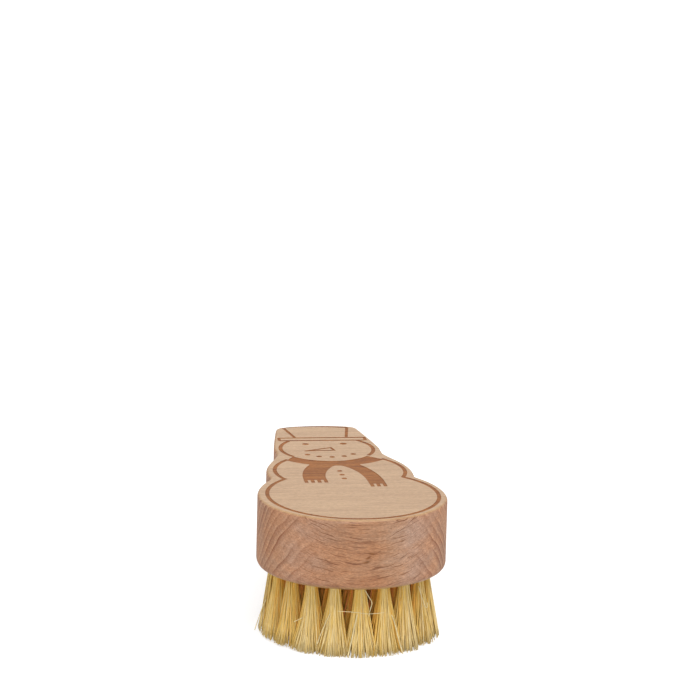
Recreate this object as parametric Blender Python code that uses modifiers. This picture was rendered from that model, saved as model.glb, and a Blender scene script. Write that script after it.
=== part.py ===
"""Dish brush: a beech block in a snowman's outline, set with tufts of plant fibre.

Metres, +Z up. The brush stands on its bristle tips at z = 0, and the block's outline is
centred on the Z axis. The hat points to +Y. The belly, which carries the tufts, points to
-Y, and the chest, head and hat behind it are the handle.

Every tuft is a bundle of fibre folded in two over a flat wire anchor and driven into a
blind hole in the underside of the belly, so each tuft is a piece of its own.
"""

import math

import bmesh
import bpy
from mathutils import Matrix, Vector

# Block
BLOCK_LENGTH = 0.1250
BLOCK_THICKNESS = 0.0247
EDGE_RADIUS = 0.0015

# Outline of the belly, from its widest line to the front end and towards the chest
BELLY_HALF_WIDTH = 0.0325
BELLY_FRONT_DEPTH = 0.0315
BELLY_BACK_DEPTH = 0.0360

# Outline of the chest, whose widest line lies behind the belly's
CHEST_SETBACK = 0.0293
CHEST_HALF_WIDTH = 0.0257
CHEST_HALF_DEPTH = 0.0318

# Outline of the head and the hat, which narrows towards a rounded crown
HEAD_HALF_WIDTH = 0.0190
HAT_TOP_HALF_WIDTH = 0.0141
HAT_TAPER_LENGTH = 0.0310
HAT_CROWN_DEPTH = 0.0060

# Hollow corners of the outline, filled out by about a quarter of these
WAIST_BLEND = 0.0016
NECK_BLEND = 0.0048

# Tuft holes, on rings around a middle hole
BRISTLE_LENGTH = 0.0240
HOLE_RADIUS = 0.0025
HOLE_DEPTH = 0.0130
HOLE_PITCH = 0.0085
HOLE_TO_BLOCK_SIDE = 0.0065
FIELD_SETBACK = 0.0010

# Tufts
TUFT_CLEARANCE = 0.0003
TUFT_FOLD_LENGTH = 0.0022
STRAND_RADIUS = 0.00034
STRAND_ROOT_LENGTH = 0.0006
TIP_GAP = 0.0003
ANCHOR_THICKNESS = 0.0005
ANCHOR_HEIGHT = 0.0016

# Overrun of every cutter past the face that it cuts
OVERRUN = 0.0020

# Shares, counts and angles
OUTLINE_STEPS = 72
TAPER_EASE = 1.15
CROWN_SQUARENESS = 4
RING_NAMES = ("outer", "middle", "inner")
SPLAY_SHARE = 0.05
DRILL_POINT_SHARE = 0.55
FOLD_WIDTH_SHARE = 0.60
PLUG_FILL_SHARE = 0.90
WELD_SHARE = 0.1
STRANDS_PER_TUFT = 12
STRAND_SIDES = 3
HOLE_SIDES = 12
PLUG_SIDES = 8
EDGE_SEGMENTS = 2
FLAT_ANGLE = math.radians(0.1)
SMOOTH_ANGLE = math.radians(35)
RIM_ANGLE = math.radians(60)

# Places that follow from the sizes above
FRONT_Y = -BLOCK_LENGTH / 2
BACK_Y = BLOCK_LENGTH / 2
BELLY_Y = FRONT_Y + BELLY_FRONT_DEPTH
CHEST_Y = BELLY_Y + CHEST_SETBACK
FIELD_Y = BELLY_Y + FIELD_SETBACK
OUTER_RING_RADIUS = BELLY_HALF_WIDTH - HOLE_TO_BLOCK_SIDE
PLUG_RADIUS = HOLE_RADIUS - TUFT_CLEARANCE
PLUG_LENGTH = HOLE_DEPTH - TUFT_CLEARANCE


def linear_colour(hex_code):
    """The linear RGBA value of an sRGB colour such as 'c09a7b'."""
    channels = [int(hex_code[i : i + 2], 16) / 255 for i in (0, 2, 4)]
    return [c / 12.92 if c <= 0.04045 else ((c + 0.055) / 1.055) ** 2.4 for c in channels] + [1]


def make_material(name, hex_code, roughness, metallic=0.0):
    """A Principled material of one colour."""
    material = bpy.data.materials.new(name)
    material.use_nodes = True
    shader = material.node_tree.nodes["Principled BSDF"]
    shader.inputs["Base Color"].default_value = linear_colour(hex_code)
    shader.inputs["Roughness"].default_value = roughness
    shader.inputs["Metallic"].default_value = metallic
    material.diffuse_color = linear_colour(hex_code)
    return material


def new_collection(name):
    """A collection of the scene."""
    collection = bpy.data.collections.new(name)
    bpy.context.scene.collection.children.link(collection)
    return collection


def new_object(name, data, collection):
    """An object with this data, in this collection."""
    obj = bpy.data.objects.new(name, data)
    collection.objects.link(obj)
    return obj


def mesh_from_bmesh(name, bm):
    """A mesh with the bmesh's shape, which is freed."""
    mesh = bpy.data.meshes.new(name)
    bm.to_mesh(mesh)
    bm.free()
    return mesh


def shade_round(mesh):
    """Shades the mesh smooth, apart from its real edges."""
    mesh.shade_smooth()
    mesh.set_sharp_from_angle(angle=SMOOTH_ANGLE)


def evaluated_mesh(obj):
    """A mesh of the object's shape with its modifiers applied."""
    bpy.context.view_layer.update()
    graph = bpy.context.evaluated_depsgraph_get()
    return bpy.data.meshes.new_from_object(obj.evaluated_get(graph), depsgraph=graph)


def add_boolean(obj, cutter, operation):
    """A Boolean modifier on the object, with a cutter that stays hidden in renders."""
    modifier = obj.modifiers.new(cutter.name, "BOOLEAN")
    modifier.operation = operation
    modifier.object = cutter
    cutter.hide_render = True
    cutter.display_type = "WIRE"


def oval_half_width(y, middle_y, half_depth, half_width):
    """Half the width of an oval at y, or less than zero past its ends."""
    share = 1 - ((y - middle_y) / half_depth) ** 2
    return half_width * math.sqrt(share) if share > 0 else -half_width


def hat_half_width(y):
    """Half the width of the head and hat at y: straight, then narrowing to the crown."""
    from_top = BACK_Y - y
    taper = max(0, 1 - from_top / HAT_TAPER_LENGTH) ** TAPER_EASE
    width = HEAD_HALF_WIDTH - (HEAD_HALF_WIDTH - HAT_TOP_HALF_WIDTH) * taper
    crown = max(0, 1 - from_top / HAT_CROWN_DEPTH) ** CROWN_SQUARENESS
    return width * math.sqrt(1 - crown)


def blended(wide, narrow, blend):
    """The larger of two widths, with the hollow corner where they cross filled out."""
    larger = max(wide, narrow)
    if min(wide, narrow) <= 0:
        return larger
    overlap = max(0, 1 - abs(wide - narrow) / blend)
    return larger + blend * overlap**2 / 4


def block_half_width(y):
    """Half the width of the block's outline at y."""
    belly_depth = BELLY_FRONT_DEPTH if y < BELLY_Y else BELLY_BACK_DEPTH
    belly = oval_half_width(y, BELLY_Y, belly_depth, BELLY_HALF_WIDTH)
    chest = oval_half_width(y, CHEST_Y, CHEST_HALF_DEPTH, CHEST_HALF_WIDTH)
    body = blended(belly, chest, WAIST_BLEND)
    if y < CHEST_Y:
        return body
    return blended(body, hat_half_width(y), NECK_BLEND)


def outline_points():
    """The block's outline as a closed loop, with stations closest at the two ends."""
    right_side = []
    for step in range(1, OUTLINE_STEPS):
        y = FRONT_Y + BLOCK_LENGTH * (1 - math.cos(math.pi * step / OUTLINE_STEPS)) / 2
        right_side.append((block_half_width(y), y))
    left_side = [(-x, y) for x, y in reversed(right_side)]
    return [(0, FRONT_Y), *right_side, (0, BACK_Y), *left_side]


def extruded_outline(name, points, thickness, collection):
    """A mesh object of a closed flat outline, extruded evenly up and down."""
    curve = bpy.data.curves.new(name, "CURVE")
    curve.dimensions = "2D"
    curve.fill_mode = "BOTH"
    curve.extrude = thickness / 2
    spline = curve.splines.new("POLY")
    spline.points.add(len(points) - 1)
    for point, (x, y) in zip(spline.points, points):
        point.co = (x, y, 0, 1)
    spline.use_cyclic_u = True
    curve_object = new_object(name + "_curve", curve, collection)
    mesh = evaluated_mesh(curve_object)
    bpy.data.objects.remove(curve_object)
    bm = bmesh.new()
    bm.from_mesh(mesh)
    bmesh.ops.remove_doubles(bm, verts=bm.verts, dist=TUFT_CLEARANCE * WELD_SHARE)
    bmesh.ops.dissolve_limit(bm, angle_limit=FLAT_ANGLE, verts=bm.verts, edges=bm.edges)
    bm.to_mesh(mesh)
    bm.free()
    shade_round(mesh)
    return new_object(name, mesh, collection)


def ring_places():
    """Each ring's name and radius, and the angles of its holes, one of them at the front."""
    for index, ring_name in enumerate(RING_NAMES):
        radius = OUTER_RING_RADIUS * (1 - index / len(RING_NAMES))
        count = max(1, round(2 * math.pi * radius / HOLE_PITCH))
        yield ring_name, radius, [2 * math.pi * i / count - math.pi / 2 for i in range(count)]


def hole_place(radius, angle):
    """A hole's mouth, from the middle of the field of holes."""
    return Vector((radius * math.cos(angle), radius * math.sin(angle), 0))


def make_drills(collection):
    """One cutter with a drill for every hole, each ending in a cone."""
    mouths = [Vector((0, 0, 0))]
    for _, radius, angles in ring_places():
        mouths += [hole_place(radius, angle) for angle in angles]
    field_middle = Vector((0, FIELD_Y, BRISTLE_LENGTH + (HOLE_DEPTH - OVERRUN) / 2))
    bm = bmesh.new()
    for mouth in mouths:
        drill = bmesh.ops.create_cone(
            bm,
            cap_ends=True,
            segments=HOLE_SIDES,
            radius1=HOLE_RADIUS,
            radius2=HOLE_RADIUS,
            depth=HOLE_DEPTH + OVERRUN,
            matrix=Matrix.Translation(field_middle + mouth),
        )
        upper_face = max(
            {face for vert in drill["verts"] for face in vert.link_faces},
            key=lambda face: face.calc_center_median().z,
        )
        point = bmesh.ops.poke(bm, faces=[upper_face])["verts"][0]
        point.co.z += HOLE_RADIUS * DRILL_POINT_SHARE
    return new_object("drills", mesh_from_bmesh("drills", bm), collection)


def make_block(parts, cutters, beech):
    """The block: its outline extruded, edges rounded over, holes drilled from below."""
    block = extruded_outline("wood_block", outline_points(), BLOCK_THICKNESS, parts)
    block.location.z = BRISTLE_LENGTH + BLOCK_THICKNESS / 2
    block.data.materials.append(beech)
    bevel = block.modifiers.new("edge_roundover", "BEVEL")
    bevel.width = EDGE_RADIUS
    bevel.segments = EDGE_SEGMENTS
    bevel.limit_method = "ANGLE"
    bevel.angle_limit = RIM_ANGLE
    add_boolean(block, make_drills(cutters), "DIFFERENCE")
    return block


def tip_radius(ring_radius, ring_count):
    """How far a tuft spreads at its tips: half way to the nearest tuft, less half the gap."""
    spacing = OUTER_RING_RADIUS / len(RING_NAMES)
    if ring_count > 1:
        spacing = min(spacing, 2 * ring_radius * math.sin(math.pi / ring_count))
    return (spacing * (1 + SPLAY_SHARE) - TIP_GAP) / 2


def make_plug():
    """The tuft's root in its hole: straight up from the underside, then narrowed at its fold."""
    bm = bmesh.new()
    straight_length = PLUG_LENGTH - TUFT_FOLD_LENGTH
    bmesh.ops.create_cone(
        bm,
        cap_ends=True,
        segments=PLUG_SIDES,
        radius1=PLUG_RADIUS,
        radius2=PLUG_RADIUS,
        depth=straight_length,
        matrix=Matrix.Translation((0, 0, straight_length / 2)),
    )
    end_face = max(bm.faces, key=lambda face: face.calc_center_median().z)
    fold = bmesh.ops.extrude_discrete_faces(bm, faces=[end_face])["faces"][0]
    bmesh.ops.scale(bm, verts=fold.verts, vec=(FOLD_WIDTH_SHARE, FOLD_WIDTH_SHARE, 1))
    bmesh.ops.translate(bm, verts=fold.verts, vec=(0, 0, TUFT_FOLD_LENGTH))
    return bm


def make_strands(splay, spread):
    """The strands of one tuft: spaced evenly over a disc, and fanning out to their flat tips."""
    bm = bmesh.new()
    length = BRISTLE_LENGTH + STRAND_ROOT_LENGTH
    root_radius = PLUG_RADIUS * PLUG_FILL_SHARE - STRAND_RADIUS
    fan = spread / (root_radius + STRAND_RADIUS)
    turn = math.pi * (3 - math.sqrt(5))
    for i in range(STRANDS_PER_TUFT):
        share = math.sqrt((i + 0.5) / STRANDS_PER_TUFT)
        across = Matrix.Rotation(i * turn, 4, "Z") @ Vector((root_radius * share, 0, 0))
        strand = bmesh.ops.create_cone(
            bm,
            cap_ends=True,
            segments=STRAND_SIDES,
            radius1=STRAND_RADIUS * fan,
            radius2=STRAND_RADIUS,
            depth=length,
            matrix=Matrix.Rotation(i * turn, 4, "Z"),
        )
        for vert in strand["verts"]:
            if vert.co.z > 0:
                vert.co += across
                vert.co.z = STRAND_ROOT_LENGTH
            else:
                vert.co += across * fan + Vector((splay, 0, 0))
                vert.co.z = -BRISTLE_LENGTH
    return bm


def make_anchor():
    """The flat wire that pins the fold, standing out of it on two sides."""
    bm = bmesh.new()
    size = (ANCHOR_THICKNESS, PLUG_RADIUS * 2, ANCHOR_HEIGHT)
    place = Matrix.Translation((0, 0, PLUG_LENGTH - TUFT_FOLD_LENGTH / 2))
    bmesh.ops.create_cube(bm, size=1, matrix=place @ Matrix.Diagonal((*size, 1)))
    for face in bm.faces:
        face.material_index = 1
    return bm


def make_tuft_mesh(name, splay, spread, cutters, materials):
    """One ring's tuft: strands and anchor joined to the plug, leaning out along +X."""
    shapes = {"plug": make_plug(), "strands": make_strands(splay, spread), "anchor": make_anchor()}
    pieces = []
    for piece_name, bm in shapes.items():
        mesh = mesh_from_bmesh(f"{name}_{piece_name}", bm)
        for material in materials:
            mesh.materials.append(material)
        pieces.append(new_object(mesh.name, mesh, cutters))
    plug, strands, anchor = pieces
    add_boolean(plug, strands, "UNION")
    add_boolean(plug, anchor, "UNION")
    tuft_mesh = evaluated_mesh(plug)
    tuft_mesh.name = name
    shade_round(tuft_mesh)
    bpy.data.objects.remove(plug)
    return tuft_mesh


def make_tufts(parts, cutters, materials):
    """Every tuft, on an empty at the middle of the field of holes, numbered from the front."""
    field = new_object("tuft_field", None, parts)
    field.location = (0, FIELD_Y, BRISTLE_LENGTH)
    centre_mesh = make_tuft_mesh("centre_tuft", 0, tip_radius(0, 1), cutters, materials)
    new_object("tuft_centre", centre_mesh, parts).parent = field
    for ring_name, radius, angles in ring_places():
        splay = radius * SPLAY_SHARE
        spread = tip_radius(radius, len(angles))
        mesh = make_tuft_mesh(ring_name + "_tuft", splay, spread, cutters, materials)
        for number, angle in enumerate(angles, 1):
            tuft = new_object(f"tuft_{ring_name}_{number:02d}", mesh, parts)
            tuft.parent = field
            tuft.location = hole_place(radius, angle)
            tuft.rotation_euler.z = angle


def main():
    """Clears the scene and builds the brush."""
    for obj in list(bpy.data.objects):
        bpy.data.objects.remove(obj)
    parts = new_collection("dish_brush")
    cutters = new_collection("cutters")
    beech = make_material("beech", "c49b7c", 0.55)
    fibre = make_material("plant_fibre", "c9a667", 0.6)
    steel = make_material("plated_steel", "b9bbbd", 0.35, 1.0)
    make_block(parts, cutters, beech)
    make_tufts(parts, cutters, (fibre, steel))


main()
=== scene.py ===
"""Dish brush: an engraved beech block in a snowman's outline, set with plant fibre.

Metres, +Z up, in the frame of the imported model. The brush stands on its fibre tips at
z = 0, the hat points to +Y and the belly, which carries the tufts, points to -Y.
"""

import math
import random

import bmesh
import bpy
from mathutils import Matrix, Vector
from mathutils.geometry import interpolate_bezier


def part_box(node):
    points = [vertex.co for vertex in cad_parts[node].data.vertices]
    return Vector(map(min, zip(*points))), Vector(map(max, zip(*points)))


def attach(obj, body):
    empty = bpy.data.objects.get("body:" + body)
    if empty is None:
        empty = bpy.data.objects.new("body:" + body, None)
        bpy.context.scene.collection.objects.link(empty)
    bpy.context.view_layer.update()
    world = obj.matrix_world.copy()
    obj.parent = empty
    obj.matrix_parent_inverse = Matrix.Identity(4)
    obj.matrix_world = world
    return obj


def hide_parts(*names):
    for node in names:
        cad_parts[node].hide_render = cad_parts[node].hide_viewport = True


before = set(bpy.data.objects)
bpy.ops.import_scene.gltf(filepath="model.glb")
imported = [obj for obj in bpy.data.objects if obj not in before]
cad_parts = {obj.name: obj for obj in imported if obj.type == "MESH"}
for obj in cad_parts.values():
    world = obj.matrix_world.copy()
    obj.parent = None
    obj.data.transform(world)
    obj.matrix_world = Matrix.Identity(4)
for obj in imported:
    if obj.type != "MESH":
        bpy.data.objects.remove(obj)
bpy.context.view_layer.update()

bl_info = {
    "name": "Dish brush",
    "version": (1, 0, 0),
    "blender": (4, 5, 0),
    "location": "3D View > Sidebar > Dish brush",
    "description": "An engraved beech dish brush set with tufts of plant fibre",
    "category": "Object",
}

MM = 0.001
BODY = "root"
BLOCK_NODE = "wood_block"

BLOCK_LOW, BLOCK_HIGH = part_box(BLOCK_NODE)
FRONT_Y, BACK_Y = BLOCK_LOW.y, BLOCK_HIGH.y
UNDERSIDE, TOP = BLOCK_LOW.z, BLOCK_HIGH.z

# Outline of the belly, from its widest line to the front end and towards the chest
BELLY_HALF_WIDTH = 32.5 * MM
BELLY_FRONT_DEPTH = 31.5 * MM
BELLY_BACK_DEPTH = 36.0 * MM
BELLY_Y = FRONT_Y + BELLY_FRONT_DEPTH

# Outline of the chest, whose widest line lies behind the belly's
CHEST_Y = BELLY_Y + 29.3 * MM
CHEST_HALF_WIDTH = 25.7 * MM
CHEST_HALF_DEPTH = 31.8 * MM

# Outline of the head and the hat, which narrows towards a rounded crown
HEAD_HALF_WIDTH = 19.0 * MM
HAT_TOP_HALF_WIDTH = 14.1 * MM
HAT_TAPER_LENGTH = 31.0 * MM
HAT_CROWN_DEPTH = 6.0 * MM
TAPER_EASE = 1.15
CROWN_SQUARENESS = 4

# Hollow corners of the outline, filled out by about a quarter of these
WAIST_BLEND = 1.6 * MM
NECK_BLEND = 4.8 * MM
OUTLINE_STEPS = 180

# Tuft holes, on rings around a middle hole
FIELD_Y = BELLY_Y + 1.0 * MM
HOLE_RADIUS = 2.5 * MM
HOLE_DEPTH = 13.0 * MM
HOLE_PITCH = 8.5 * MM
OUTER_RING_RADIUS = BELLY_HALF_WIDTH - 6.5 * MM
RING_NAMES = ("outer", "middle", "inner")
DRILL_POINT = 1.4 * MM

# How far a cutter runs past the face that it cuts
OVERRUN = 2.0 * MM


def linear(hex_colour):
    """An sRGB hex colour as linear red, green, blue and alpha."""
    channels = [int(hex_colour[i:i + 2], 16) / 255 for i in (1, 3, 5)]
    return tuple(c / 12.92 if c <= 0.04045 else ((c + 0.055) / 1.055) ** 2.4
                 for c in channels) + (1.0,)


class BlockSettings(bpy.types.PropertyGroup):
    """Sizes and colours of the beech block"""

    edge_radius: bpy.props.FloatProperty(
        name="Edge radius", description="Rounding of the block's top edge",
        default=1.1 * MM, min=0.2 * MM, max=4 * MM, subtype="DISTANCE", unit="LENGTH")
    foot_radius: bpy.props.FloatProperty(
        name="Foot radius", description="Rounding of the block's bottom edge",
        default=2.5 * MM, min=0.2 * MM, max=4 * MM, subtype="DISTANCE", unit="LENGTH")
    engraving_depth: bpy.props.FloatProperty(
        name="Engraving depth", description="Depth to which the drawing is burnt into the top",
        default=0.14 * MM, min=0.05 * MM, max=1 * MM, subtype="DISTANCE", unit="LENGTH")
    body_line: bpy.props.FloatProperty(
        name="Body line", description="Width of the line round the head, chest and belly",
        default=1.4 * MM, min=0.4 * MM, max=2 * MM, subtype="DISTANCE", unit="LENGTH")
    hat_line: bpy.props.FloatProperty(
        name="Hat line", description="Width of the lines of the hat and its brim",
        default=1.1 * MM, min=0.4 * MM, max=2 * MM, subtype="DISTANCE", unit="LENGTH")
    nose_line: bpy.props.FloatProperty(
        name="Nose line", description="Width of the line round the nose",
        default=0.95 * MM, min=0.4 * MM, max=2 * MM, subtype="DISTANCE", unit="LENGTH")
    layer_spacing: bpy.props.FloatProperty(
        name="Growth layers", description="Thickness of one year's growth in the beech",
        default=2.4 * MM, min=0.5 * MM, max=6 * MM, subtype="DISTANCE", unit="LENGTH")
    wood_colour: bpy.props.FloatVectorProperty(
        name="Wood colour", description="Colour of the early wood, before the wood is mottled",
        default=linear("#b88965"), size=4, min=0.0, max=1.0, subtype="COLOR")
    burnt_colour: bpy.props.FloatVectorProperty(
        name="Burnt colour", description="Colour of the early wood in the burnt engraving",
        default=linear("#a56734"), size=4, min=0.0, max=1.0, subtype="COLOR")


class FibreSettings(bpy.types.PropertyGroup):
    """Sizes and colour of the plant fibre and the way it spreads"""

    folded_fibres: bpy.props.IntProperty(
        name="Folded fibres", description="Fibres in one tuft, each folded in two",
        default=130, min=8, max=160)
    radius: bpy.props.FloatProperty(
        name="Fibre radius", description="Radius of one fibre",
        default=0.175 * MM, min=0.05 * MM, max=0.5 * MM, subtype="DISTANCE", unit="LENGTH")
    fan: bpy.props.FloatProperty(
        name="Fan", description="Radius to which a tuft has spread at its tips",
        default=5.1 * MM, min=2 * MM, max=7 * MM, subtype="DISTANCE", unit="LENGTH")
    lean: bpy.props.FloatProperty(
        name="Lean", description="How far the outer ring leans outwards at its tips",
        default=1.2 * MM, min=0.0, max=5 * MM, subtype="DISTANCE", unit="LENGTH")
    fibre_colour: bpy.props.FloatVectorProperty(
        name="Fibre colour", description="Colour of a fibre of middle tint",
        default=linear("#e3bd5f"), size=4, min=0.0, max=1.0, subtype="COLOR")
    seed: bpy.props.IntProperty(
        name="Seed", description="Start of the random lie of the fibres", default=7, min=0)


class StageSettings(bpy.types.PropertyGroup):
    """Strengths of the lamps and the sky"""

    key_level: bpy.props.FloatProperty(
        name="Key light", description="Strength of the broad light from the front right",
        default=1.15, min=0.0)
    fill_level: bpy.props.FloatProperty(
        name="Fill light", description="Strength of the low light from the front",
        default=0.9, min=0.0)
    sky_level: bpy.props.FloatProperty(
        name="Sky level", description="Strength of the even light from all round",
        default=0.72, min=0.0, max=2.0)


def node(tree, kind, inputs=(), stops=(), **settings):
    """Adds a node with its settings, sets or links its inputs and fills its colour ramp.

    Inputs go by name or by place. In a Map Range 1 and 2 are the range that it maps from,
    and 3 and 4 the one it maps to. In a Mix 4 and 5 are its vectors, and 6 and 7 its
    colours. The first two stops are the ends of the ramp.
    """
    made = tree.nodes.new(kind)
    for name, value in settings.items():
        setattr(made, name, value)
    for key, value in dict(inputs).items():
        if isinstance(value, bpy.types.NodeSocket):
            tree.links.new(value, made.inputs[key])
        else:
            made.inputs[key].default_value = value
    for i, (place, colour) in enumerate(stops):
        ramp = made.color_ramp.elements
        stop = ramp[i] if i < 2 else ramp.new(place)
        stop.position, stop.color = place, colour
    return made


def grey(level):
    """A grey of that linear level."""
    return (level, level, level, 1.0)


def new_material(name):
    """An empty node material, its tree and its output."""
    material = bpy.data.materials.new(name)
    material.use_nodes = True
    material.node_tree.nodes.clear()
    out = node(material.node_tree, "ShaderNodeOutputMaterial")
    return material, material.node_tree, out


def pattern(tree, place, cell, detail, roughness=0.5):
    """Outputs of a soft random pattern, whose cells have that size along each axis."""
    spread = node(tree, "ShaderNodeMapping", {
        "Vector": place, "Scale": tuple(1 / size for size in cell)})
    return node(tree, "ShaderNodeTexNoise", {
        "Vector": spread.outputs[0], "Scale": 1.0, "Detail": detail,
        "Roughness": roughness}).outputs


def lens(tree, place, middle, slope, size, strength):
    """Strength within a lens-shaped sheet, which falls to none at its rim."""
    inside = node(tree, "ShaderNodeMapping", {
        "Vector": place, "Location": middle, "Rotation": (0, -slope, 0), "Scale": size},
        vector_type="TEXTURE")
    inside = node(tree, "ShaderNodeVectorMath", {0: inside.outputs[0]}, operation="LENGTH")
    return node(tree, "ShaderNodeMapRange", {
        0: inside.outputs["Value"], 1: 1.0, 2: 0.3, 3: 0.0, 4: strength}).outputs[0]


def largest(tree, shares):
    """The largest of several values."""
    result = shares[0]
    for share in shares[1:]:
        result = node(tree, "ShaderNodeMath", {
            0: result, 1: share}, operation="MAXIMUM").outputs[0]
    return result


def tinted(tree, colour, share, tint):
    """A colour multiplied by a tint, as far as the share says."""
    factor = node(tree, "ShaderNodeMix", {
        "Factor": share, 4: (1.0, 1.0, 1.0), 5: tint}, data_type="VECTOR")
    return node(tree, "ShaderNodeVectorMath", {
        0: colour, 1: factor.outputs[1]}, operation="MULTIPLY").outputs[0]


def seen_share(tree):
    """1 for what the camera sees, straight or in a gloss or glass, and 0 for other light."""
    rays = node(tree, "ShaderNodeLightPath").outputs
    return largest(tree, [
        rays["Is Camera Ray"], rays["Is Glossy Ray"], rays["Is Transmission Ray"]])


# Slope of the growth layers in this board: the radial direction lies this far above +Y
RADIAL_TILT = math.radians(33)
# The full range in mm over which the random pattern can shift the layers
WAVER = (0.0, 4.2, 3.0)
# One year's growth, from pale early wood to the late band at its end
LATE_WOOD = (
    (0.0, grey(0.3)), (1.0, grey(0.6)), (0.07, grey(0.0)), (0.2, grey(0.05)),
    (0.45, grey(0.4)), (0.75, grey(0.6)), (0.92, grey(1.0)),
)
# The small rays: a random pattern's cell (along the grain, radial, tangential) in mm, and
# their strength. They show where the pattern is above the cut.
SMALL_RAYS = (((8.0, 9.0, 0.34), 0.8), ((4.5, 5.0, 0.22), 0.72))
SMALL_RAY_CUT = 0.64
SMALL_RAY_SOFTNESS = 0.1
# The largest rays that the front of the wall cuts, in the same frame: the middle in mm, the
# slope along the grain and the half length in mm. Height and thickness are half sizes too.
LARGE_RAYS = (
    ((-2.0, -29.6, 68.6), 0.0, 8.5),
    ((11.0, -27.0, 69.9), 0.2, 5.0),
    ((16.5, -23.0, 71.6), 0.3, 3.0),
    ((6.5, -34.5, 60.7), 0.03, 6.5),
    ((17.5, -29.0, 60.6), -0.05, 3.2),
    ((5.5, -36.0, 57.6), 0.0, 8.5),
    ((14.5, -33.6, 56.8), 0.0, 3.0),
    ((13.5, -30.7, 62.0), 0.1, 3.0),
    ((-14.2, -24.2, 71.5), 0.0, 3.0),
    ((-16.2, -31.4, 58.5), 0.14, 3.0),
    ((-14.0, -30.8, 61.3), 0.09, 4.5),
    ((-13.6, -34.9, 55.3), 0.09, 4.8),
    ((-15.2, -27.1, 66.2), 0.0, 3.0),
)
LARGE_RAY_HEIGHT = 6.0
LARGE_RAY_THICKNESS = 0.15
# Small brown flecks near the middle of the front, given in the same way
FLECKS = (
    ((2.2, -32.1, 65.2), -0.1, 2.0),
    ((1.0, -32.9, 64.1), 0.5, 1.4),
    ((0.4, -33.7, 62.8), 0.25, 1.9),
)
FLECK_HEIGHT = 3.0
FLECK_THICKNESS = 0.5
FLECK_STRENGTH = 0.9
FLECK_COLOUR = "#7a460c"
# A paler, greyer area on the front right: its middle, slope and half sizes
PALE_AREA = ((13.0, -30.0, 65.0), 0.0, (9.5, 30.0, 21.0))

# Tints of the wood, as factors of red, green and blue
WARM_PATCH, COOL_PATCH = (0.905, 0.82, 0.725), (0.83, 0.835, 0.86)
DARK_GRAIN, PALE_GRAIN = (0.845, 0.838, 0.83), (1.17, 1.18, 1.2)
END_TINT = (1.24, 1.33, 1.48)
PINK_TINT = (1.0, 1.03, 1.13)
# Painted shade on the round-over along the foot
FOOT_SHADE_TINT = (0.97, 0.93, 0.89)
PALE_GREY_TINT = (1.09, 1.23, 1.42)
# Painted light from above, on the flat faces and their rounded rim
TOP_LIGHT_TINT = (1.11, 1.28, 1.17)

# Relief of a ray against that of the pores, the spread of the gloss and the dulling of the ends
RAY_GROOVE = 0.2
GLOSS_SPREAD = 0.06
END_DULLNESS = 0.35


def late_bands(tree, grain, wavy, end_grain, layer_spacing):
    """Strength of the growth layers' late bands: pale early wood darkens softly to each."""
    depth = node(tree, "ShaderNodeSeparateXYZ", {0: wavy}).outputs["Y"]
    layer = node(tree, "ShaderNodeMath", {0: depth, 1: layer_spacing / MM}, operation="DIVIDE")
    layer = node(tree, "ShaderNodeMath", {0: layer.outputs[0]}, operation="FRACT")
    late_wood = node(tree, "ShaderNodeValToRGB", {0: layer.outputs[0]}, stops=LATE_WOOD)
    uneven = pattern(tree, grain, (22, 4, 28), 1.0)
    layer_share = node(tree, "ShaderNodeMapRange", {
        0: uneven[0], 1: 0.35, 2: 0.65, 3: 0.25, 4: 1.0})
    late_share = node(tree, "ShaderNodeMath", {
        0: late_wood.outputs[0], 1: layer_share.outputs[0]}, operation="MULTIPLY")
    # The late bands are clear on the end grain and faint on the faces along the grain
    sharpness = node(tree, "ShaderNodeMapRange", {
        0: end_grain, 1: 0.45, 2: 0.85, 3: 0.12, 4: 1.0})
    late_share = node(tree, "ShaderNodeMath", {
        0: late_share.outputs[0], 1: sharpness.outputs[0]}, operation="MULTIPLY")
    return late_share.outputs[0]


def ray_dashes(tree, rippled, end_grain, level_face_and_top_light):
    """Strength of the rays, which show as short dark dashes along the grain.

    The small ones are about 0.3 mm thick and up to 8 mm long, and the large ones up to 17 mm.
    """
    rays = []
    for cell, strength in SMALL_RAYS:
        sheets = pattern(tree, rippled, cell, 0.5)
        rays.append(node(tree, "ShaderNodeMapRange", {
            0: sheets[0], 1: SMALL_RAY_CUT, 2: SMALL_RAY_CUT + SMALL_RAY_SOFTNESS,
            3: 0.0, 4: strength}).outputs[0])
    for middle, slope, half_length in LARGE_RAYS:
        size = (half_length, LARGE_RAY_HEIGHT, LARGE_RAY_THICKNESS)
        rays.append(lens(tree, rippled, middle, slope, size, 1.0))
    # They show most on the milled wall, and are too fine to see on the end grain
    side_grain = node(tree, "ShaderNodeMapRange", {
        0: end_grain, 1: 0.45, 2: 0.75, 3: 1.0, 4: 0.08})
    flat_grain = node(tree, "ShaderNodeMapRange", {0: level_face_and_top_light, 3: 1.0, 4: 0.2})
    visible = node(tree, "ShaderNodeMath", {
        0: side_grain.outputs[0], 1: flat_grain.outputs[0]}, operation="MULTIPLY")
    shown = node(tree, "ShaderNodeMath", {
        0: largest(tree, rays), 1: visible.outputs[0]}, operation="MULTIPLY")
    return shown.outputs[0]


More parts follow.
